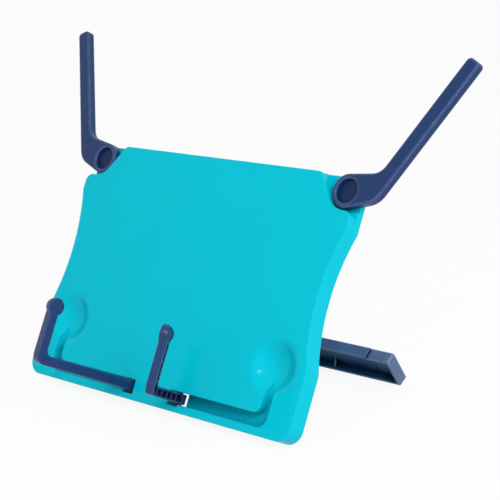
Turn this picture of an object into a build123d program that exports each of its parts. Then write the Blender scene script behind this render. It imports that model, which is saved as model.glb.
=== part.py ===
from build123d import *
from math import cos, radians, sin, tan
import os

# A folding book stand of moulded plastic, in millimetres. It stands on z = 0
# as it is used: +X to the reader's right, +Y behind the board, +Z up.
# The board is drawn flat, u to the right, v up the board and n out of its
# front face, and is leaned back last. Left pieces mirror the right ones.

# Board
board_width = 240.0
board_height = 167.8
board_depth = 13.0
front_depth = 6.5
shell_wall = 2.0
lean_angle = 30.0
bottom_corner_radius = 10.0
top_corner_radius = 4.0
waist_low = 44.7
waist_high = 133.2
waist_sagitta = 7.3
front_edge_radius = 0.8
back_edge_radius = 1.0

# Clip groove, finger dimple and clip opening
groove_low = 5.3
groove_high = 13.3
groove_start = 25.4
groove_end = 99.8
groove_rise_start = 92.5
groove_depth = 6.2
groove_start_depth = 8.8
groove_floor = 1.6
groove_outer_radius = 7.0
groove_inner_radius = 5.0
groove_rim_radius = 0.7
dimple_u = 94.3
dimple_v = 43.1
dimple_radius = 16.4
dimple_depth = 8.0
dimple_rim_radius = 10.0
dimple_rim_lift = 0.05
opening_start = 16.3
opening_low = 3.9

# Arm notch
hub_inset = 9.6
hub_drop = 9.9
notch_radius = 12.2
notch_lower_drop = 12.7
notch_corner_radius = 5.6
notch_top_radius = 5.0
notch_floor_depth = 8.3

# Page arm
hub_radius = 11.0
arm_front_depth = 1.9
arm_thickness = 6.2
arm_reach = 109.2
bar_inner = 12.6
bar_outer = 22.5
crank_upper_angle = 34.5
crank_lower_angle = 45.0
crank_inner_radius = 11.0
crank_outer_radius = 15.0
arm_tip_radius = 3.0
arm_edge_radius = 1.1
arm_back_radius = 0.6
arm_core_wall = 1.9
arm_core_depth = 4.0
arm_rib_count = 5
right_arm_angle = 61.9
left_arm_angle = 65.5

# Arm pivot
recess_radius = 7.95
recess_depth = 3.1
recess_rim_radius = 1.0
cap_thickness = 0.7
cap_ledge = 0.95
pivot_web = 1.2
pivot_radius = 3.5
arm_screw_radius = 1.5
arm_screw_head_radius = 3.0
arm_screw_head_height = 0.7
arm_screw_length = 5.2
arm_washer_radius = 5.6
arm_washer_thickness = 0.4

# Page clip
clip_axis_u = 22.0
clip_axis_depth = 4.46
clip_reach = 77.3
clip_upright_width = 6.3
clip_low = 6.05
clip_high = 12.54
clip_pad_v = 43.4
clip_pad_radius = 5.7
clip_pad_rise = 0.3
clip_pad_wall = 1.9
clip_pad_edge_radius = 0.5
clip_front_offset = 4.16
clip_thickness = 5.5
clip_outer_radius = 6.0
clip_inner_radius = 4.0
clip_edge_radius = 0.7
clip_core_wall = 1.2
clip_core_depth = 3.7
clip_core_start = 2.6
clip_corner_cell = 8.5
clip_corner_rise = 2.0
clip_bar_cells = 5
clip_upright_cells = 2
clip_rib = 1.3
clip_pin_radius = 1.25
clip_pin_length = 16.6
clip_pin_inset = 0.3
clip_lug_wall = 2.6
clip_washer_radius = 2.7
clip_washer_thickness = 2.0
right_clip_angle = 59.8
left_clip_angle = 78.4

# Rear leg
hinge_drop = 4.3
leg_angle = 60.0
leg_thickness = 8.0
leg_wall = 2.0
leg_length = 110.6
leg_bar_width = 23.8
leg_bar_half_length = 109.6
leg_stem_half_width = 30.2
leg_stem_radius = 8.0
leg_corner_radius = 0.5
leg_edge_radius = 0.4
leg_end_bevel = 0.8
leg_head_length = 6.0
leg_heel_length = 6.0
leg_heel_play = 0.05
leg_rib = 1.8
leg_rib_depth = 4.4
leg_stem_ribs = 3
gusset_u = 54.0
gusset_length = 8.0
gusset_drop = 0.3
step_length = 18.9
step_depth = 0.5
step_line_width = 0.8
step_line_depth = 0.8
finger_notch_length = 13.3
finger_notch_run = 7.2
finger_notch_drop = 1.4
end_line_start = 2.2
end_line_width = 0.6
end_line_depth = 0.6
leg_pin_radius = 1.5
leg_pin_head_radius = 2.6
leg_pin_head_height = 1.0
leg_lug_width = 5.0
leg_lug_radius = 4.0
leg_lug_foot = 15.0
leg_washer_radius = 3.4
leg_washer_thickness = 0.5

# Screws that join the shells, each at a place (u, v) on both sides
screw_places = [(108.0, 14.0), (103.5, 84.0), (106.5, 131.0), (45.0, 157.0), (45.0, 27.0)]
screw_radius = 1.1
screw_head_radius = 2.4
screw_head_height = 1.7
screw_length = 6.2
screw_tip_room = 0.2
screw_seat = 3.6
boss_wall = 1.8
cross_length = 2.8
cross_width = 0.6
cross_depth = 0.5

# Rubber feet
foot_flat_height = 0.4
foot_size = 4.0
foot_thickness = 1.2
board_foot_half_length = 60.0
leg_foot_start = 14.0
leg_foot_length = 24.0
foot_edge_lift = 0.2

# Clearances
pin_play = 0.05
press_play = 0.01
head_play = 0.4
side_play = 0.1
tray_play = 0.4
overrun = 1.0

# Places worked out from the sizes above
half_width = board_width / 2
hub_u = half_width - hub_inset
hub_v = board_height - hub_drop
arm_back_depth = arm_front_depth + arm_thickness
web_front_depth = arm_back_depth - pivot_web
cap_back_depth = arm_front_depth + recess_depth + cap_thickness
leg_back = leg_thickness / 2
leg_bar_top = leg_bar_width - leg_length
step_start = leg_bar_half_length - step_length
step_top = leg_bar_top - step_depth
lug_inner = leg_stem_half_width + leg_washer_thickness + side_play
rise_share = sin(radians(lean_angle))
up_share = cos(radians(lean_angle))
leg_rise_share = sin(radians(leg_angle - lean_angle))
leg_up_share = cos(radians(leg_angle - lean_angle))
leg_reach = leg_length * leg_up_share + leg_back * leg_rise_share
hinge_v = (leg_reach + hinge_drop * rise_share) / up_share
notch_wall_angle = crank_upper_angle + 90
flat_front = foot_flat_height * up_share / rise_share
flat_back = foot_flat_height * rise_share / up_share
board_origin_y = (flat_front - flat_back) / 2 - board_depth * up_share
board_origin_z = board_depth * rise_share - foot_flat_height

board_plane = Plane(
    origin=(0, board_origin_y, board_origin_z),
    x_dir=(1, 0, 0),
    z_dir=(0, -up_share, rise_share),
)
world = board_plane.location
hub_place = Pos(hub_u, hub_v, 0)
clip_axis_place = Pos(clip_axis_u, 0, -clip_axis_depth)
leg_place = Pos(0, hinge_v, -board_depth - hinge_drop) * Rot(leg_angle, 0, 0)


def slab(face, low, high):
    """A flat face thickened from one height to another."""
    return Pos(0, 0, low) * extrude(face, amount=high - low)


def flat_box(x0, x1, y0, y1):
    """A rectangle between two pairs of edges."""
    return Pos((x0 + x1) / 2, (y0 + y1) / 2) * Rectangle(x1 - x0, y1 - y0)


def block(x0, x1, y0, y1, z0, z1):
    """A box between three pairs of faces."""
    return slab(flat_box(x0, x1, y0, y1), z0, z1)


def post(radius, low, high):
    """A round post along z."""
    return slab(Circle(radius), low, high)


def side_bar(outline, start, end):
    """An outline in (y, z), run along x from start to end."""
    face = Plane.YZ * make_face(Polyline(*outline, close=True))
    return Pos(start, 0, 0) * extrude(face, amount=end - start)


def corners_near(shape, *points):
    """The corners of a flat shape that lie closest to some points."""
    return [shape.vertices().sort_by_distance(point)[0] for point in points]


def both_sides(shape):
    """A shape and its mirror image across the middle of the board."""
    return shape + mirror(shape, about=Plane.YZ)


def arc_point(radius, angle):
    """The point on a circle at an angle in degrees."""
    return (radius * cos(radians(angle)), radius * sin(radians(angle)))


def board_outline():
    """The board seen from the front: straight sides drawn in at the waist."""
    waist_middle = (waist_low + waist_high) / 2
    waist_u = half_width - waist_sagitta
    lower = Polyline((0, 0), (half_width, 0), (half_width, waist_low))
    waist = ThreePointArc((half_width, waist_low), (waist_u, waist_middle), (half_width, waist_high))
    upper = Polyline((half_width, waist_high), (half_width, board_height), (0, board_height))
    right = make_face(lower + waist + upper + Line((0, board_height), (0, 0)))
    whole = both_sides(right)
    bottom = corners_near(whole, (half_width, 0), (-half_width, 0))
    whole = fillet(bottom, bottom_corner_radius)
    top = corners_near(whole, (half_width, board_height), (-half_width, board_height))
    return fillet(top, top_corner_radius)


def notch_area(lower_v):
    """The area that the right arm sweeps, down to a height on the board."""
    wall_x, wall_y = arc_point(notch_radius, notch_wall_angle + 90)
    top_v = board_height + notch_radius
    top_run = (top_v - hub_v - wall_y) / tan(radians(notch_wall_angle))
    side_u = half_width + notch_radius
    outline = Polyline(
        (hub_u + wall_x, hub_v + wall_y),
        (hub_u + wall_x + top_run, top_v),
        (side_u, top_v),
        (side_u, lower_v),
        (hub_u, lower_v),
        close=True,
    )
    return make_face(outline) + Pos(hub_u, hub_v) * Circle(notch_radius)


def front_outline():
    """The front panel seen from the front, with its two arm notches."""
    lower_v = hub_v - notch_lower_drop
    whole = board_outline() - both_sides(notch_area(lower_v))
    side = corners_near(whole, (half_width, lower_v), (-half_width, lower_v))
    whole = fillet(side, notch_corner_radius)
    wall_x, wall_y = arc_point(notch_radius, notch_wall_angle + 90)
    run = (board_height - hub_v - wall_y) / tan(radians(notch_wall_angle))
    top_u = hub_u + wall_x + run
    top = corners_near(whole, (top_u, board_height), (-top_u, board_height))
    return fillet(top, notch_top_radius)


def groove_area(start):
    """The right clip groove: along the bottom, then up into the dimple."""
    run = flat_box(start, groove_end, groove_low, groove_high)
    rise = flat_box(groove_rise_start, groove_end, groove_low, dimple_v)
    outer = corners_near(run + rise, (groove_end, groove_low))
    rounded = fillet(outer, groove_outer_radius)
    inner = corners_near(rounded, (groove_rise_start, groove_high))
    return fillet(inner, groove_inner_radius)


def groove_space(start, wall, top):
    """The right groove, larger by wall, its floor falling toward the clip's hinge."""
    area = groove_area(start)
    area = offset(area, amount=wall) if wall else area
    bottom = -max(groove_depth, groove_start_depth) - wall
    below = [
        (groove_start, -groove_start_depth - wall),
        (groove_rise_start, -groove_depth - wall),
        (half_width, -groove_depth - wall),
        (half_width, bottom - overrun),
        (groove_start, bottom - overrun),
    ]
    under = extrude(Plane.XZ * make_face(Polyline(*below, close=True)), amount=-dimple_v)
    return slab(area, bottom, top) - under


def opening_area():
    """The right clip opening, through the whole board."""
    return flat_box(opening_start, groove_start, opening_low, groove_high)


def dimple_sphere(extra):
    """The ball that shapes the dimple, larger by extra for its cup."""
    radius = (dimple_radius**2 + dimple_depth**2) / (2 * dimple_depth)
    return Pos(dimple_u, dimple_v, radius - dimple_depth) * Sphere(radius + extra)


def dimple_cut():
    """The right dimple with its rounded rim, as the space it leaves."""
    radius = (dimple_radius**2 + dimple_depth**2) / (2 * dimple_depth)
    rim = dimple_radius + dimple_rim_radius
    ball = Pos(0, radius - dimple_depth) * Circle(radius)
    dish = ball & flat_box(0, rim, -dimple_depth, dimple_rim_lift)
    profile = dish + flat_box(0, rim, dimple_rim_lift, overrun)
    profile = fillet(corners_near(profile, (dimple_radius, 0)), dimple_rim_radius)
    return Pos(dimple_u, dimple_v, 0) * revolve(Plane.XZ * profile, axis=Axis.Z)


def screw_positions():
    """Every shell screw's place, on both sides of the board."""
    return [Pos(side * u, v, 0) for u, v in screw_places for side in (1, -1)]


def front_shell():
    """The hollow front panel before its grooves are cut."""
    outline = front_outline()
    shell = slab(outline, -front_depth, 0)
    rim = shell.faces().sort_by(Axis.Z)[-1].edges()
    shell = fillet(rim, front_edge_radius)
    shell -= slab(offset(outline, amount=-shell_wall), -front_depth - overrun, -shell_wall)
    return shell


def front_trays():
    """What carries the grooves, dimples and openings under the right skin."""
    tray = groove_space(groove_start, groove_floor, -shell_wall)
    well = slab(offset(opening_area(), amount=shell_wall), -front_depth, -shell_wall)
    cup = dimple_sphere(groove_floor) & post_area(dimple_radius + groove_floor)
    lug_top = groove_high + clip_lug_wall + shell_wall
    lug_half = clip_pin_radius + clip_lug_wall
    lugs = block(
        clip_axis_u - lug_half, clip_axis_u + lug_half, 0, lug_top, -front_depth, -shell_wall
    )
    return tray + well + cup + lugs


def post_area(radius):
    """A round column over the right dimple, from the skin down."""
    return Pos(dimple_u, dimple_v, 0) * post(radius, -board_depth, -shell_wall / 2)


def front_panel():
    """The front half of the board."""
    panel = front_shell() + both_sides(front_trays())
    panel &= slab(front_outline(), -board_depth, 0)
    for place in screw_positions():
        panel += place * post(screw_radius + boss_wall, -front_depth, -shell_wall / 2)
    groove = groove_space(clip_axis_u, 0, overrun)
    panel -= both_sides(groove + slab(opening_area(), -board_depth, overrun))
    rims = [wire.edges() for wire in panel.faces().sort_by(Axis.Z)[-1].inner_wires()]
    panel = fillet([edge for rim in rims for edge in rim], groove_rim_radius)
    pin_end = clip_pin_inset + clip_pin_length + press_play
    pin_bore = Rot(-90, 0, 0) * post(clip_pin_radius + press_play, -overrun, pin_end)
    panel -= both_sides(dimple_cut() + clip_axis_place * pin_bore)
    hole_top = screw_seat + screw_length + screw_tip_room - board_depth
    for place in screw_positions():
        panel -= place * post(screw_radius + press_play, -board_depth, hole_top)
    return panel


def table_cut(height):
    """The wedge of the board's lower back edge that a level cut takes off."""
    front = height / rise_share + overrun * up_share / rise_share
    top = height / up_share + overrun * rise_share / up_share
    wedge = [
        (-overrun, -board_depth - overrun),
        (-overrun, -board_depth + front),
        (top, -board_depth - overrun),
    ]
    return side_bar(wedge, -half_width, half_width)


def leg_lug():
    """The right lug of the rear leg's hinge, on the back of the board."""
    root = leg_lug_foot / 2
    outline = [
        (hinge_v - root, -board_depth + shell_wall / 2),
        (hinge_v + root, -board_depth + shell_wall / 2),
        (hinge_v + leg_lug_radius, -board_depth - hinge_drop),
        (hinge_v - leg_lug_radius, -board_depth - hinge_drop),
    ]
    start = lug_inner
    end = lug_inner + leg_lug_width
    knuckle = Rot(0, 90, 0) * post(leg_lug_radius, start, end)
    return side_bar(outline, start, end) + Pos(0, hinge_v, -board_depth - hinge_drop) * knuckle


def back_cover():
    """The back half of the board."""
    outline = board_outline()
    cover = slab(outline, -board_depth, -front_depth)
    cover = fillet(cover.faces().sort_by(Axis.Z)[0].edges(), back_edge_radius)
    cover -= slab(offset(outline, amount=-shell_wall), -board_depth + shell_wall, overrun)
    pads = offset(notch_area(hub_v - notch_lower_drop), amount=shell_wall) & outline
    well = slab(offset(opening_area(), amount=shell_wall), -board_depth + overrun, -front_depth)
    cover += both_sides(slab(pads, -board_depth + overrun, -front_depth) + well + leg_lug())
    for place in screw_positions():
        boss_radius = screw_head_radius + head_play + boss_wall / 2
        cover += place * post(boss_radius, -board_depth + overrun, -front_depth)
    swept = notch_area(hub_v - notch_radius)
    cuts = slab(swept, -notch_floor_depth, overrun)
    cuts += slab(opening_area(), -board_depth - overrun, overrun)
    cuts += groove_space(groove_start, groove_floor + tray_play, overrun)
    cuts += dimple_sphere(groove_floor + tray_play) & slab(outline, -board_depth, overrun)
    cover -= both_sides(cuts)
    cover += both_sides(hub_place * post(pivot_radius, -notch_floor_depth - overrun, -web_front_depth))
    screw_tip = -web_front_depth - arm_screw_length - press_play
    bore = hub_place * post(arm_screw_radius + press_play, screw_tip, overrun)
    pin_bore = Rot(0, 90, 0) * post(leg_pin_radius + press_play, 0, half_width)
    cover -= both_sides(bore + Pos(0, hinge_v, -board_depth - hinge_drop) * pin_bore)
    for place in screw_positions():
        cover -= place * post(screw_radius + side_play, -board_depth - overrun, overrun)
        seat = post(screw_head_radius + head_play, -board_depth - overrun, screw_seat - board_depth)
        cover -= place * seat
    cover -= table_cut(foot_flat_height + foot_edge_lift)
    return cover - board_foot_block(press_play)


def cross_recess(top):
    """The cross in a screw head whose top lies at a height, opening upward."""
    arm = flat_box(-cross_length / 2, cross_length / 2, -cross_width / 2, cross_width / 2)
    return slab(arm + Rot(0, 0, 90) * arm, top - cross_depth, top + overrun)


def cover_screws():
    """The screws that hold the back cover to the front panel, one group."""
    head = post(screw_head_radius, 0, screw_head_height) - cross_recess(screw_head_height)
    screw = head + post(screw_radius, -screw_length, 0)
    seated = Pos(0, 0, -board_depth + screw_seat) * Rot(180, 0, 0) * screw
    return Compound(children=[place * seated for place in screw_positions()])


def arm_outline():
    """The right arm with its bar upright: hub, crank and bar."""
    upper_x, upper_y = arc_point(hub_radius, crank_upper_angle + 90)
    lower_x, lower_y = arc_point(hub_radius, crank_lower_angle - 90)
    inner_y = upper_y + (bar_inner - upper_x) * tan(radians(crank_upper_angle))
    outer_y = lower_y + (bar_outer - lower_x) * tan(radians(crank_lower_angle))
    outline = Polyline(
        (0, 0),
        (lower_x, lower_y),
        (bar_outer, outer_y),
        (bar_outer, arm_reach),
        (bar_inner, arm_reach),
        (bar_inner, inner_y),
        (upper_x, upper_y),
        close=True,
    )
    whole = make_face(outline) + Circle(hub_radius)
    whole = fillet(corners_near(whole, (bar_inner, inner_y)), crank_inner_radius)
    whole = fillet(corners_near(whole, (bar_outer, outer_y)), crank_outer_radius)
    tips = corners_near(whole, (bar_inner, arm_reach), (bar_outer, arm_reach))
    return fillet(tips, arm_tip_radius)


def arm_core():
    """The pockets that lighten the arm from behind, with ribs between."""
    start = bar_outer + arm_core_wall
    end = arm_reach - arm_core_wall
    cell = (end - start + arm_core_wall) / arm_rib_count
    pockets = Part()
    for index in range(arm_rib_count):
        low = start + index * cell
        pockets += block(
            bar_inner + arm_core_wall,
            bar_outer - arm_core_wall,
            low,
            low + cell - arm_core_wall,
            -arm_back_depth - overrun,
            -arm_back_depth + arm_core_depth,
        )
    return pockets


def arm_shape():
    """The right arm, hub centre at the origin and bar along +y."""
    arm = slab(arm_outline(), -arm_back_depth, -arm_front_depth)
    arm = fillet(arm.faces().sort_by(Axis.Z)[-1].edges(), arm_edge_radius)
    arm = fillet(arm.faces().sort_by(Axis.Z)[0].edges(), arm_back_radius)
    recess = post(recess_radius, -cap_back_depth, 0)
    arm -= recess
    rim = arm.edges().filter_by(GeomType.CIRCLE).sort_by(Axis.Z)
    rim = [e for e in rim if abs(e.radius - recess_radius) < press_play][-1]
    arm = fillet(rim, recess_rim_radius)
    arm -= post(recess_radius - cap_ledge, -web_front_depth, 0)
    arm -= post(pivot_radius + pin_play, -board_depth, 0)
    return arm - arm_core()


def arm_washer():
    """The friction washer between the arm's web and its screw."""
    ring = Circle(arm_washer_radius) - Circle(arm_screw_radius + pin_play)
    return slab(ring, -web_front_depth, -web_front_depth + arm_washer_thickness)


def arm_screw():
    """The screw that the arm turns under, driven into the spindle."""
    seat = -web_front_depth + arm_washer_thickness
    head = post(arm_screw_head_radius, seat, seat + arm_screw_head_height)
    head -= Pos(0, 0, seat + arm_screw_head_height) * Rot(0, 0, 45) * cross_recess(0)
    return head + post(arm_screw_radius, -web_front_depth - arm_screw_length, seat)


def arm_cap():
    """The disc pressed into the hub over the screw."""
    return post(recess_radius - press_play, -cap_back_depth, -cap_back_depth + cap_thickness)


def clip_outline():
    """The right clip's bar and upright from the front."""
    upright_start = clip_reach - clip_upright_width
    bar = flat_box(0, clip_reach, clip_low, clip_high)
    upright = flat_box(upright_start, clip_reach, clip_low, clip_pad_v)
    whole = bar + upright
    whole = fillet(corners_near(whole, (clip_reach, clip_low)), clip_outer_radius)
    return fillet(corners_near(whole, (upright_start, clip_high)), clip_inner_radius)


def clip_pad():
    """The round thumb pad at the top of the upright, flat in front and round behind."""
    front = clip_front_offset + clip_pad_rise
    middle = front - clip_pad_wall
    disc = flat_box(0, clip_pad_radius, middle, front)
    disc = fillet(corners_near(disc, (clip_pad_radius, front)), clip_pad_edge_radius)
    ball = Pos(0, middle) * Circle(clip_pad_radius)
    ball &= flat_box(0, clip_pad_radius, middle - clip_pad_radius, middle)
    pad = revolve(Plane.XZ * (disc + ball), axis=Axis.Z)
    return Pos(clip_reach - clip_upright_width / 2, clip_pad_v, 0) * pad


def clip_core():
    """The pockets in the back of the clip, with ribs between."""
    back = clip_front_offset - clip_thickness
    area = offset(clip_outline(), amount=-clip_core_wall)
    area -= flat_box(0, clip_core_start, 0, clip_pad_v)
    area -= flat_box(0, clip_reach, clip_pad_v - clip_pad_radius, clip_pad_v)
    corner_start = clip_reach - clip_core_wall - clip_corner_cell
    bar_cell = (corner_start - clip_core_start) / clip_bar_cells
    for index in range(clip_bar_cells):
        end = clip_core_start + (index + 1) * bar_cell
        area -= flat_box(end - clip_rib, end, 0, clip_high)
    corner_high = clip_high + clip_corner_rise
    rise = (clip_pad_v - clip_pad_radius - corner_high) / clip_upright_cells
    for index in range(clip_upright_cells):
        low = corner_high + index * rise
        area -= flat_box(clip_reach - clip_upright_width, clip_reach, low, low + clip_rib)
    return slab(area, back - overrun, back + clip_core_depth)


def clip_shape():
    """The right clip laid flat in its groove, hinge axis along y at x = 0."""
    back = clip_front_offset - clip_thickness
    clip = slab(clip_outline(), back, clip_front_offset)
    rim = clip.faces().sort_by(Axis.Z)[-1].edges()
    clip = fillet([edge for edge in rim if edge.center().X > 0], clip_edge_radius)
    knuckle = Rot(-90, 0, 0) * post(clip_front_offset, clip_low, clip_high)
    square = block(-clip_front_offset, 0, clip_low, clip_high, -clip_front_offset, clip_front_offset)
    clip = clip - square + knuckle + clip_pad() - clip_core()
    return clip - Rot(-90, 0, 0) * post(clip_pin_radius + pin_play, 0, clip_pad_v)


def clip_pin():
    """The right clip's hinge pin, driven in from the board's lower edge."""
    return Rot(-90, 0, 0) * post(clip_pin_radius, clip_pin_inset, clip_pin_inset + clip_pin_length)


def clip_washer():
    """The friction bush under the clip's knuckle."""
    ring = Circle(clip_washer_radius) - Circle(clip_pin_radius + pin_play)
    high = clip_low - (clip_low - opening_low - clip_washer_thickness) / 2
    return Rot(-90, 0, 0) * slab(ring, high - clip_washer_thickness, high)


def leg_outline():
    """The rear leg seen from behind: a stem with a long foot bar."""
    neck_y = -leg_head_length / 2
    end = leg_bar_half_length
    stem = flat_box(-leg_stem_half_width, leg_stem_half_width, leg_bar_top - overrun, neck_y)
    whole = stem + flat_box(-end, end, -leg_length, leg_bar_top)
    neck_u = leg_stem_half_width
    armpits = corners_near(whole, (neck_u, leg_bar_top), (-neck_u, leg_bar_top))
    whole = fillet(armpits, leg_stem_radius)
    whole -= both_sides(flat_box(step_start, end, step_top, leg_bar_top))
    upper = corners_near(whole, (end, step_top), (-end, step_top))
    whole = chamfer(upper, leg_end_bevel)
    lower = corners_near(whole, (end, -leg_length), (-end, -leg_length))
    return fillet(lower, leg_corner_radius)


def leg_head():
    """The stem's head round the hinge pin, with the heel that stops it."""
    facet_turn = 90 - leg_angle
    touch = hinge_drop - leg_heel_play
    touch_y, touch_z = arc_point(touch, facet_turn)
    heel_z = touch_z - (leg_heel_length - touch_y) / tan(radians(facet_turn))
    heel = [
        (0, 0),
        (touch_y, touch_z),
        (leg_heel_length, heel_z),
        (leg_heel_length, -leg_back),
        (0, -leg_back),
    ]
    neck = block(-leg_stem_half_width, leg_stem_half_width, -leg_head_length, 0, -leg_back, leg_back)
    round_head = Rot(0, 90, 0) * post(touch, -leg_stem_half_width, leg_stem_half_width)
    keep = block(-leg_stem_half_width, leg_stem_half_width, -touch, leg_heel_length, -leg_back, leg_back)
    return neck + (side_bar(heel, -leg_stem_half_width, leg_stem_half_width) + round_head & keep)


def leg_ribs():
    """Cross ribs inside the stem and the bar, and the bar's corner gussets."""
    floor = -leg_back + leg_wall / 2
    top = floor + leg_wall / 2 + leg_rib_depth
    half = leg_rib / 2
    bottom = -leg_length + half
    gusset_top = leg_back - gusset_drop
    gusset = [(bottom, floor), (bottom, gusset_top), (bottom + gusset_length, floor)]
    ribs = both_sides(side_bar(gusset, gusset_u - half, gusset_u + half))
    ribs += block(-half, half, bottom, -leg_head_length + half, floor, top)
    rib_gap = (leg_bar_top + leg_head_length) / leg_stem_ribs
    reach = leg_stem_half_width - half
    for step in range(leg_stem_ribs):
        rib_y = leg_bar_top - rib_gap * step
        ribs += block(-reach, reach, rib_y - half, rib_y + half, floor, top)
    return ribs


def finger_notch():
    """The slope cut from the foot bar's upper edge near its right end."""
    start = leg_back - finger_notch_run
    slope_share = finger_notch_drop / finger_notch_run
    wedge = [
        (step_top, start),
        (step_top - slope_share * (finger_notch_run + overrun), leg_back + overrun),
        (step_top + overrun, leg_back + overrun),
        (step_top + overrun, start),
    ]
    return side_bar(wedge, step_start, step_start + finger_notch_length)


def leg_lines():
    """The fine lines across the foot bar's right half: at its step and on its end."""
    back = -leg_back - overrun
    step_end = step_start + step_line_width
    step_low = step_top - step_line_depth
    at_step = block(step_start, step_end, step_low, step_top + overrun, back, leg_back + overrun)
    end_start = leg_bar_half_length - end_line_depth
    end_high = step_top - end_line_start
    end_low = end_high - end_line_width
    rim = leg_back - leg_wall
    on_end = block(end_start, leg_bar_half_length + overrun, end_low, end_high, back, rim)
    return at_step + on_end


def leg_table_cut(height):
    """The wedge of the foot bar's lower edge that a level cut takes off."""
    back = height / leg_rise_share + overrun * leg_up_share / leg_rise_share
    top = height / leg_up_share + overrun * leg_rise_share / leg_up_share
    wedge = [
        (-leg_length - overrun, leg_back + overrun),
        (-leg_length - overrun, leg_back - back),
        (-leg_length + top, leg_back + overrun),
    ]
    reach = leg_bar_half_length + overrun
    return side_bar(wedge, -reach, reach)


def rear_leg():
    """The rear leg, hinge axis along x at the origin, its hollow side to +z."""
    outline = leg_outline()
    leg = slab(outline, -leg_back, leg_back)
    leg = fillet(leg.faces().sort_by(Axis.Z)[0].edges(), leg_edge_radius)
    hollow = offset(outline, amount=-leg_wall)
    hollow -= flat_box(-half_width, half_width, -leg_head_length, leg_head_length)
    leg -= slab(hollow, -leg_back + leg_wall, leg_back + overrun)
    leg += leg_ribs()
    leg += leg_head()
    leg -= both_sides(finger_notch() + leg_lines())
    leg -= Rot(0, 90, 0) * post(leg_pin_radius + pin_play, -half_width, half_width)
    leg -= leg_table_cut(foot_flat_height + foot_edge_lift)
    return leg - leg_foot_blocks(press_play)


def leg_hinge_pin():
    """The hinge pin through both lugs, with a head at each end."""
    end = lug_inner + leg_lug_width
    pin = Rot(0, 90, 0) * post(leg_pin_radius, -end, end)
    head = Rot(0, 90, 0) * post(leg_pin_head_radius, end, end + leg_pin_head_height)
    return pin + both_sides(head)


def leg_washer():
    """The friction washer between the stem and the right lug."""
    ring = Circle(leg_washer_radius) - Circle(leg_pin_radius + pin_play)
    start = leg_stem_half_width + side_play / 2
    return Rot(0, 90, 0) * slab(ring, start, start + leg_washer_thickness)


def board_foot_block(play):
    """The strip along the board's lower back edge, before it is cut flat."""
    half = board_foot_half_length + play
    return block(
        -half, half, 0, foot_thickness + play, -board_depth, -board_depth + foot_size + play
    )


def board_foot():
    """The rubber strip that the board stands on, flat on the table."""
    return board_foot_block(0) - table_cut(foot_flat_height)


def leg_foot_blocks(play):
    """The two pads under the foot bar, before they are cut flat."""
    return both_sides(
        block(
            leg_foot_start - play,
            leg_foot_start + leg_foot_length + play,
            -leg_length,
            -leg_length + foot_thickness + play,
            leg_back - foot_size - play,
            leg_back,
        )
    )


def leg_feet():
    """The rubber pads that the leg stands on, flat on the table."""
    return Compound(children=list((leg_foot_blocks(0) - leg_table_cut(foot_flat_height)).solids()))


def write(name, shape):
    """Put a piece where it stands and write it under its name."""
    placed = world * shape
    solids = placed.solids()
    kept = solids[0] if len(solids) == 1 else Compound(children=list(solids))
    export_step(kept, os.path.join("parts", name + ".step"))


def arm_pose(angle):
    """Where the right arm's parts stand for a bar direction from +u."""
    return hub_place * Rot(0, 0, angle - 90)


def clip_pose(angle):
    """Where the right clip stands for an angle out of its groove."""
    return clip_axis_place * Rot(0, -angle, 0)


def write_side(side, arm_angle, clip_angle):
    """Write the arm and clip pieces of one side."""
    pieces = {
        "arm": arm_pose(arm_angle) * arm_shape(),
        "arm_cap": arm_pose(arm_angle) * arm_cap(),
        "arm_washer": hub_place * arm_washer(),
        "arm_screw": hub_place * arm_screw(),
        "page_clip": clip_pose(clip_angle) * clip_shape(),
        "clip_washer": clip_axis_place * clip_washer(),
        "clip_pin": clip_axis_place * clip_pin(),
    }
    for name, shape in pieces.items():
        placed = shape if side == "right" else mirror(shape, about=Plane.YZ)
        write(side + "_" + name, placed)


def main():
    os.makedirs("parts", exist_ok=True)
    write("front_panel", front_panel())
    write("back_cover", back_cover())
    write("cover_screws", cover_screws())
    write("base_strip", board_foot())
    write_side("right", right_arm_angle, right_clip_angle)
    write_side("left", left_arm_angle, left_clip_angle)
    write("rear_leg", leg_place * rear_leg())
    write("leg_feet", leg_place * leg_feet())
    write("leg_hinge_pin", leg_place * leg_hinge_pin())
    write("right_leg_washer", leg_place * leg_washer())
    write("left_leg_washer", leg_place * mirror(leg_washer(), about=Plane.YZ))


main()
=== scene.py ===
import math

import bpy
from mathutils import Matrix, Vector

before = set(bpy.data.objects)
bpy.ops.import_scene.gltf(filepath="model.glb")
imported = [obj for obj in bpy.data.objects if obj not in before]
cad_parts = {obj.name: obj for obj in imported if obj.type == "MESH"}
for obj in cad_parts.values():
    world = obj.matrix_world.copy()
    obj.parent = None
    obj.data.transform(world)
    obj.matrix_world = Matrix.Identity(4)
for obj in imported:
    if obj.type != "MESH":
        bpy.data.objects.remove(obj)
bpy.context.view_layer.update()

# All lengths are in metres, in the stand's own frame.
MM = 0.001

# The camera that the photograph was taken with, found from the stand's own edges.
CAMERA_PLACE = (0.68979, -0.62171, 0.36329)
CAMERA_TURN_DEGREES = (74.182, 4.358, 42.632)
CAMERA_LENS = 109.46
CAMERA_SENSOR = 36.0
CAMERA_NEAR = 10 * MM

# Each soft box: its place, the point it looks at, its width and its watts.
# The small one makes the glint in the right finger dimple.
LAMPS = {
    "key": ((1.27, -0.45, 0.85), (0.0, 0.0, 0.1), 0.7, 10.6),
    "glint": ((0.760, -0.559, 1.109), (0.08, 0.01, 0.04), 0.04, 3.2),
}
SURROUND_LIGHT = 0.64

FLOOR_SIZE = 12.0
FLOOR_ROUGHNESS = 0.8

# How much of the seen floor is plain white, the rest being lit and holding the shadow.
WHITE_SHARE = 0.9

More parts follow.
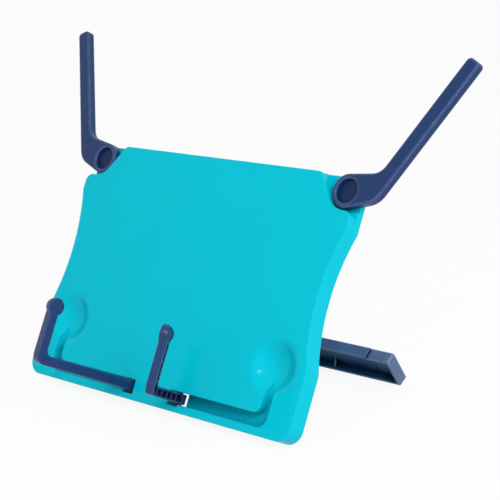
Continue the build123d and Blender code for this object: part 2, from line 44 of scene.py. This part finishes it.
# Linear colours. The flow marks of a moulding run from its deep colour to its plain one.
WHITE = (1.0, 1.0, 1.0, 1.0)
FLOOR_GREY = (0.86, 0.86, 0.86, 1.0)
CYAN = (0.0, 0.518, 0.648, 1.0)
CYAN_DEEP = (0.0, 0.498, 0.623, 1.0)
NAVY = (0.006, 0.032, 0.120, 1.0)
NAVY_DEEP = (0.004, 0.027, 0.105, 1.0)
CLIP_NAVY = (0.007, 0.036, 0.132, 1.0)
CLIP_NAVY_DEEP = (0.005, 0.030, 0.116, 1.0)
LEG_NAVY = (0.047, 0.108, 0.232, 1.0)
LEG_NAVY_DEEP = (0.041, 0.098, 0.215, 1.0)
# A darker navy for the arm caps, painted shade for the hub recesses they sit in.
CAP_PAINTED_SHADE_NAVY = (0.003, 0.020, 0.082, 1.0)
CAP_PAINTED_SHADE_NAVY_DEEP = (0.002, 0.016, 0.070, 1.0)
# Painted highlight colours for the outer edges.
EDGE_HIGHLIGHT = (0.120, 0.170, 0.400, 1.0)
LEG_EDGE_HIGHLIGHT = (0.220, 0.340, 0.520, 1.0)
# The lighter colour painted on the ends of the leg's bar, as painted light.
LEG_END_LIT = (0.105, 0.147, 0.262, 1.0)
ACETAL = (0.80, 0.80, 0.77, 1.0)
ACETAL_DEEP = (0.76, 0.76, 0.73, 1.0)
DARK_ACETAL = (0.012, 0.015, 0.024, 1.0)
DARK_ACETAL_DEEP = (0.010, 0.013, 0.021, 1.0)
STEEL = (0.56, 0.57, 0.58, 1.0)
DARK_STEEL = (0.060, 0.065, 0.075, 1.0)
RUBBER = (0.020, 0.024, 0.040, 1.0)

# How much darker steel is in its turning marks, and how much paler rubber in its bloom.
MARK_SHADE = 0.86
BLOOM_SHADE = 1.7

# Noise patterns: scale per metre, detail and roughness.
FLOW_MARKS = (28.0, 3.0, 0.5)
GLOSS_PATCHES = (60.0, 4.0, 0.5)
LIT_ENDS_PATCHES = (90.0, 4.0, 0.5)
EDGE_HIGHLIGHT_PATCHES = (150.0, 4.0, 0.5)
SPARK_GRAIN = (2600.0, 2.0, 0.6)
TURNING_MARKS = (900.0, 3.0, 0.5)
DUSTY_BLOOM = (140.0, 5.0, 0.5)
RUBBER_GRIT = (1800.0, 2.0, 0.5)

# Nearly all of a noise lies between these values, which are spread over a wider range.
NOISE_MIDDLE = (0.3, 0.7)

# The range over which each noise varies what it drives, and the height of each grain.
FLOW_SHARE = (0.35, 1.0)
PLASTIC_GLOSS = (-0.05, 0.07)
STEEL_GLOSS = (-0.08, 0.08)
SPARK_HEIGHT = 0.06 * MM
GRIT_HEIGHT = 0.08 * MM
GRIT_STRENGTH = 0.3
RUBBER_ROUGHNESS = 0.85

# How strongly the painted shade darkens a hollow in a moulding.
CLIP_HOLLOW_SHADE = 1.1
LEG_HOLLOW_SHADE = 2.5
GROOVE_SHADE = 0.3

# The painted shade in the clip grooves is full below the first of these heights and gone above
# the second.
GROOVE_SHADE_HEIGHTS = (0.018, 0.026)

# Painted shade: a hollow keeps its colour where it sees at least this share of the sky, and
# below that red darkens first and blue last.
OPEN_SKY = 0.88
FADE = {"Red": 2.6, "Green": 1.2, "Blue": 1.0}

# Edges get a painted highlight, patchy like wear, where the rounded normal has turned this
# far from the flat one, and only where they see this share of the sky within the reach. The
# weakest patches keep the last number's share of the highlight.
EDGE_HIGHLIGHT_TURN = (0.001, 0.02)
EDGE_HIGHLIGHT_SKY = (0.85, 0.97)
EDGE_HIGHLIGHT_REACH = 2 * MM
EDGE_HIGHLIGHT_LEAST = 0.5

# The leg's bar fades to a lighter colour, painted light, between these distances from its
# middle, and beyond them the lighter colour's share varies over this range.
LIT_ENDS_FROM = (0.0895, 0.0935)
LIT_ENDS_SHARE = (0.75, 1.0)

# Rays for each point of a softened edge or of a hollow's shade.
RAYS = 6


class Nodes:
    """A short way to add and join the shader nodes of a material or the world."""

    def __init__(self, owner):
        owner.use_nodes = True
        self.tree = owner.node_tree

    def feed(self, socket, value):
        """Join an input to the output that drives it, or give it a plain value."""
        if isinstance(value, bpy.types.NodeSocket):
            self.tree.links.new(value, socket)
        else:
            socket.default_value = value

    def feed_node(self, name, values):
        """Feed the named inputs of a node that the tree already has."""
        for key, value in values.items():
            self.feed(self.tree.nodes[name].inputs[key], value)

    def add(self, kind, *ordered, **named):
        """Add a node. Ordered values go to its inputs in turn, and a named one to the
        input of that name, or to the setting where there is no such input."""
        node = self.tree.nodes.new(kind)
        for name, value in named.items():
            if name in node.inputs:
                self.feed(node.inputs[name], value)
            else:
                setattr(node, name, value)
        for socket, value in zip(node.inputs, ordered):
            self.feed(socket, value)
        return node

    def math(self, operation, *values):
        """One sum."""
        return self.add("ShaderNodeMath", *values, operation=operation).outputs[0]

    def spread(self, value, from_range, to_range=(0.0, 1.0)):
        """Map one range of a value to another, and hold it beyond the ends."""
        keys = ("From Min", "From Max", "To Min", "To Max")
        limits = dict(zip(keys, (*from_range, *to_range)))
        return self.add("ShaderNodeMapRange", Value=value, **limits).outputs["Result"]

    def mix(self, factor, first, second, blend="MIX"):
        """Two colours mixed."""
        return self.add("ShaderNodeMix", data_type="RGBA", blend_type=blend,
                        Factor=factor, A=first, B=second).outputs["Result"]

    def place(self):
        """Where a point of the piece is, in metres."""
        return self.add("ShaderNodeTexCoord").outputs["Object"]

    def axis(self, name):
        """How far along one axis a point of the piece is."""
        return self.add("ShaderNodeSeparateXYZ", self.place()).outputs[name]

    def noise(self, pattern):
        """A noise pattern in the piece's own metres."""
        scale, detail, roughness = pattern
        return self.add("ShaderNodeTexNoise", Vector=self.place(), Scale=scale,
                        Detail=detail, Roughness=roughness).outputs["Fac"]

    def patches(self, pattern, share):
        """A noise pattern spread over a range."""
        return self.spread(self.noise(pattern), NOISE_MIDDLE, share)

    def gloss(self, pattern, roughness, change):
        """A roughness that varies a little around its middle."""
        return self.patches(pattern, [roughness + part for part in change])

    def bump(self, pattern, strength, height, **normal):
        """Small relief in a noise pattern, over a softened normal if one is given."""
        return self.add("ShaderNodeBump", Height=self.noise(pattern), Strength=strength,
                        Distance=height, **normal).outputs["Normal"]

    def open_sky(self, reach):
        """How much of the sky a point sees past its own piece, within a reach."""
        return self.add("ShaderNodeAmbientOcclusion", samples=RAYS, only_local=True,
                        Distance=reach).outputs["AO"]


def painted_crevice_shade(nodes, tone, reach, shade, heights=None):
    """Paint shade into a colour in narrow hollows, and only below some heights if these are
    given.
    """
    seen = nodes.spread(nodes.open_sky(reach), (0.0, OPEN_SKY))
    if heights:
        seen = nodes.math("MAXIMUM", seen, nodes.spread(nodes.axis("Z"), heights))
    fades = {channel: nodes.math("POWER", seen, shade * fade) for channel, fade in FADE.items()}
    shades = nodes.add("ShaderNodeCombineColor", **fades).outputs["Color"]
    return nodes.mix(1.0, tone, shades, "MULTIPLY")


def edge_highlight_and_wear(nodes, tone, soft, painted_light, share):
    """Paint a lighter highlight along the outer edges, patchy like wear."""
    flat = nodes.add("ShaderNodeNewGeometry").outputs["Normal"]
    dot = nodes.add("ShaderNodeVectorMath", soft, flat, operation="DOT_PRODUCT")
    edge = nodes.spread(nodes.math("SUBTRACT", 1.0, dot.outputs["Value"]), EDGE_HIGHLIGHT_TURN)
    outer = nodes.spread(nodes.open_sky(EDGE_HIGHLIGHT_REACH), EDGE_HIGHLIGHT_SKY)
    uneven = nodes.patches(EDGE_HIGHLIGHT_PATCHES, (EDGE_HIGHLIGHT_LEAST * share, share))
    amount = nodes.math("MULTIPLY", nodes.math("MULTIPLY", edge, outer), uneven)
    return nodes.mix(amount, tone, painted_light)


def painted_light_ends(nodes, tone, distances, painted_light):
    """Fade a colour to a lighter one, painted light, between two distances to either side."""
    beyond = nodes.spread(nodes.math("ABSOLUTE", nodes.axis("X")), distances)
    patchy = nodes.patches(LIT_ENDS_PATCHES, LIT_ENDS_SHARE)
    return nodes.mix(nodes.math("MULTIPLY", beyond, patchy), tone, painted_light)


def moulded_plastic(name, colour, deep, roughness, shine, grain, edge,
                    hollow_shade=None, painted_light=None, edge_highlight=None):
    """Injection-moulded plastic: spark texture, faint flow marks, softened edges."""
    material = bpy.data.materials.new(name)
    nodes = Nodes(material)
    tone = nodes.mix(nodes.patches(FLOW_MARKS, FLOW_SHARE), deep, colour)
    soft = nodes.add("ShaderNodeBevel", samples=RAYS, Radius=edge).outputs["Normal"]
    # Painted light on the ends of the leg's bar.
    if painted_light:
        tone = painted_light_ends(nodes, tone, *painted_light)
    # Painted highlight along the outer edges.
    if edge_highlight:
        tone = edge_highlight_and_wear(nodes, tone, soft, *edge_highlight)
    # Painted shade in the hollows.
    if hollow_shade:
        tone = painted_crevice_shade(nodes, tone, *hollow_shade)
    nodes.feed_node("Principled BSDF", {
        "Base Color": tone,
        "Roughness": nodes.gloss(GLOSS_PATCHES, roughness, PLASTIC_GLOSS),
        "Specular IOR Level": shine,
        "Normal": nodes.bump(SPARK_GRAIN, grain, SPARK_HEIGHT, Normal=soft),
    })
    return material


def shaded(colour, share):
    """A colour made darker or lighter."""
    return tuple(min(1.0, share * channel) for channel in colour[:3]) + (1.0,)


def steel(name, colour, roughness):
    """Plated steel with fine turning marks."""
    material = bpy.data.materials.new(name)
    nodes = Nodes(material)
    nodes.feed_node("Principled BSDF", {
        "Base Color": nodes.mix(nodes.noise(TURNING_MARKS), shaded(colour, MARK_SHADE), colour),
        "Roughness": nodes.gloss(TURNING_MARKS, roughness, STEEL_GLOSS),
        "Metallic": 1.0,
    })
    return material


def rubber(name, colour):
    """Matte rubber with a dusty bloom."""
    material = bpy.data.materials.new(name)
    nodes = Nodes(material)
    nodes.feed_node("Principled BSDF", {
        "Base Color": nodes.mix(nodes.noise(DUSTY_BLOOM), colour, shaded(colour, BLOOM_SHADE)),
        "Roughness": RUBBER_ROUGHNESS,
        "Normal": nodes.bump(RUBBER_GRIT, GRIT_STRENGTH, GRIT_HEIGHT),
    })
    return material


def both(*names):
    """The right and left nodes of these names."""
    return [side + name for name in names for side in ("right_", "left_")]


def dress(names, material):
    """Give CAD nodes one material."""
    for name in names:
        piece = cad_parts[name]
        piece.data.materials.clear()
        piece.data.materials.append(material)


def dress_all():
    """Every CAD node gets the finish of its real material."""
    dress(["front_panel", "back_cover"], moulded_plastic(
        "cyan_moulding", CYAN, CYAN_DEEP, roughness=0.13, shine=0.055, grain=0.1,
        edge=0.5 * MM, hollow_shade=(12 * MM, GROOVE_SHADE, GROOVE_SHADE_HEIGHTS)))
    dress(both("arm"), moulded_plastic(
        "arm_navy_moulding", NAVY, NAVY_DEEP, roughness=0.26, shine=0.25, grain=0.25,
        edge=1.4 * MM, edge_highlight=(EDGE_HIGHLIGHT, 1.0)))
    dress(both("page_clip"), moulded_plastic(
        "clip_navy_moulding", CLIP_NAVY, CLIP_NAVY_DEEP, roughness=0.28, shine=0.33, grain=0.25,
        edge=0.7 * MM, hollow_shade=(5 * MM, CLIP_HOLLOW_SHADE), edge_highlight=(EDGE_HIGHLIGHT, 0.5)))
    dress(["rear_leg"], moulded_plastic(
        "leg_navy_moulding", LEG_NAVY, LEG_NAVY_DEEP, roughness=0.34, shine=0.12, grain=0.25,
        edge=1.1 * MM, hollow_shade=(16 * MM, LEG_HOLLOW_SHADE), painted_light=(LIT_ENDS_FROM, LEG_END_LIT),
        edge_highlight=(LEG_EDGE_HIGHLIGHT, 0.8)))
    dress(both("arm_cap"), moulded_plastic(
        "cap_painted_shade_moulding", CAP_PAINTED_SHADE_NAVY, CAP_PAINTED_SHADE_NAVY_DEEP, roughness=0.40, shine=0.2, grain=0.25,
        edge=0.2 * MM))
    dress(both("arm_screw") + ["cover_screws"], steel("zinc_plate", STEEL, roughness=0.35))
    dress(both("clip_pin") + ["leg_hinge_pin"],
          steel("black_oxide_steel", DARK_STEEL, roughness=0.42))
    dress(both("arm_washer", "leg_washer"), moulded_plastic(
        "acetal", ACETAL, ACETAL_DEEP, roughness=0.35, shine=0.4, grain=0.1, edge=0.1 * MM))
    dress(both("clip_washer"), moulded_plastic(
        "dark_acetal", DARK_ACETAL, DARK_ACETAL_DEEP, roughness=0.45, shine=0.3, grain=0.1,
        edge=0.1 * MM))
    dress(["base_strip", "leg_feet"], rubber("foot_rubber", RUBBER))


def seen_ray(nodes):
    """One for a ray that ends in the picture, straight or by a reflection or through glass."""
    path = nodes.add("ShaderNodeLightPath").outputs
    mirrored = nodes.math("MAXIMUM", path["Is Camera Ray"], path["Is Glossy Ray"])
    return nodes.math("MAXIMUM", mirrored, path["Is Transmission Ray"])


def make_floor():
    """A pale floor that shows white to the camera and keeps the soft shadow."""
    bpy.ops.mesh.primitive_plane_add(size=FLOOR_SIZE, location=(0, 0, 0))
    floor = bpy.context.object
    floor.name = "floor"
    material = bpy.data.materials.new("floor_white")
    nodes = Nodes(material)
    nodes.feed_node("Principled BSDF", {"Base Color": FLOOR_GREY, "Roughness": FLOOR_ROUGHNESS})
    lit = nodes.tree.nodes["Principled BSDF"].outputs[0]
    white = nodes.add("ShaderNodeEmission", Strength=1.0).outputs[0]
    share = nodes.math("MULTIPLY", seen_ray(nodes), WHITE_SHARE)
    surface = nodes.add("ShaderNodeMixShader", share, lit, white).outputs[0]
    nodes.feed_node("Material Output", {"Surface": surface})
    floor.data.materials.append(material)


def make_world():
    """A bright plain surround that is white where it is seen."""
    world = bpy.data.worlds.new("surround")
    nodes = Nodes(world)
    nodes.feed_node("Background", {"Color": WHITE, "Strength": SURROUND_LIGHT})
    light = nodes.tree.nodes["Background"].outputs[0]
    seen = nodes.add("ShaderNodeBackground", Color=WHITE, Strength=1.0).outputs[0]
    surface = nodes.add("ShaderNodeMixShader", seen_ray(nodes), light, seen).outputs[0]
    nodes.feed_node("World Output", {"Surface": surface})
    bpy.context.scene.world = world


def place_in_scene(name, data, place, turn):
    """Put a lamp or a camera in the scene."""
    thing = bpy.data.objects.new(name, data)
    thing.location = place
    thing.rotation_euler = turn
    bpy.context.collection.objects.link(thing)
    return thing


def make_lamps():
    """Square soft boxes, each looking at a point."""
    for name, (place, target, size, power) in LAMPS.items():
        data = bpy.data.lights.new(name, "AREA")
        data.shape = "SQUARE"
        data.size = size
        data.energy = power
        toward = Vector(target) - Vector(place)
        place_in_scene(name, data, place, toward.to_track_quat("-Z", "Y").to_euler())


def make_camera():
    """The photograph's camera."""
    data = bpy.data.cameras.new("camera")
    data.lens = CAMERA_LENS
    data.sensor_width = CAMERA_SENSOR
    data.clip_start = CAMERA_NEAR
    turn = [math.radians(angle) for angle in CAMERA_TURN_DEGREES]
    bpy.context.scene.camera = place_in_scene("camera", data, CAMERA_PLACE, turn)


dress_all()
make_floor()
make_world()
make_lamps()
make_camera()
bpy.context.scene.view_settings.view_transform = "Standard"
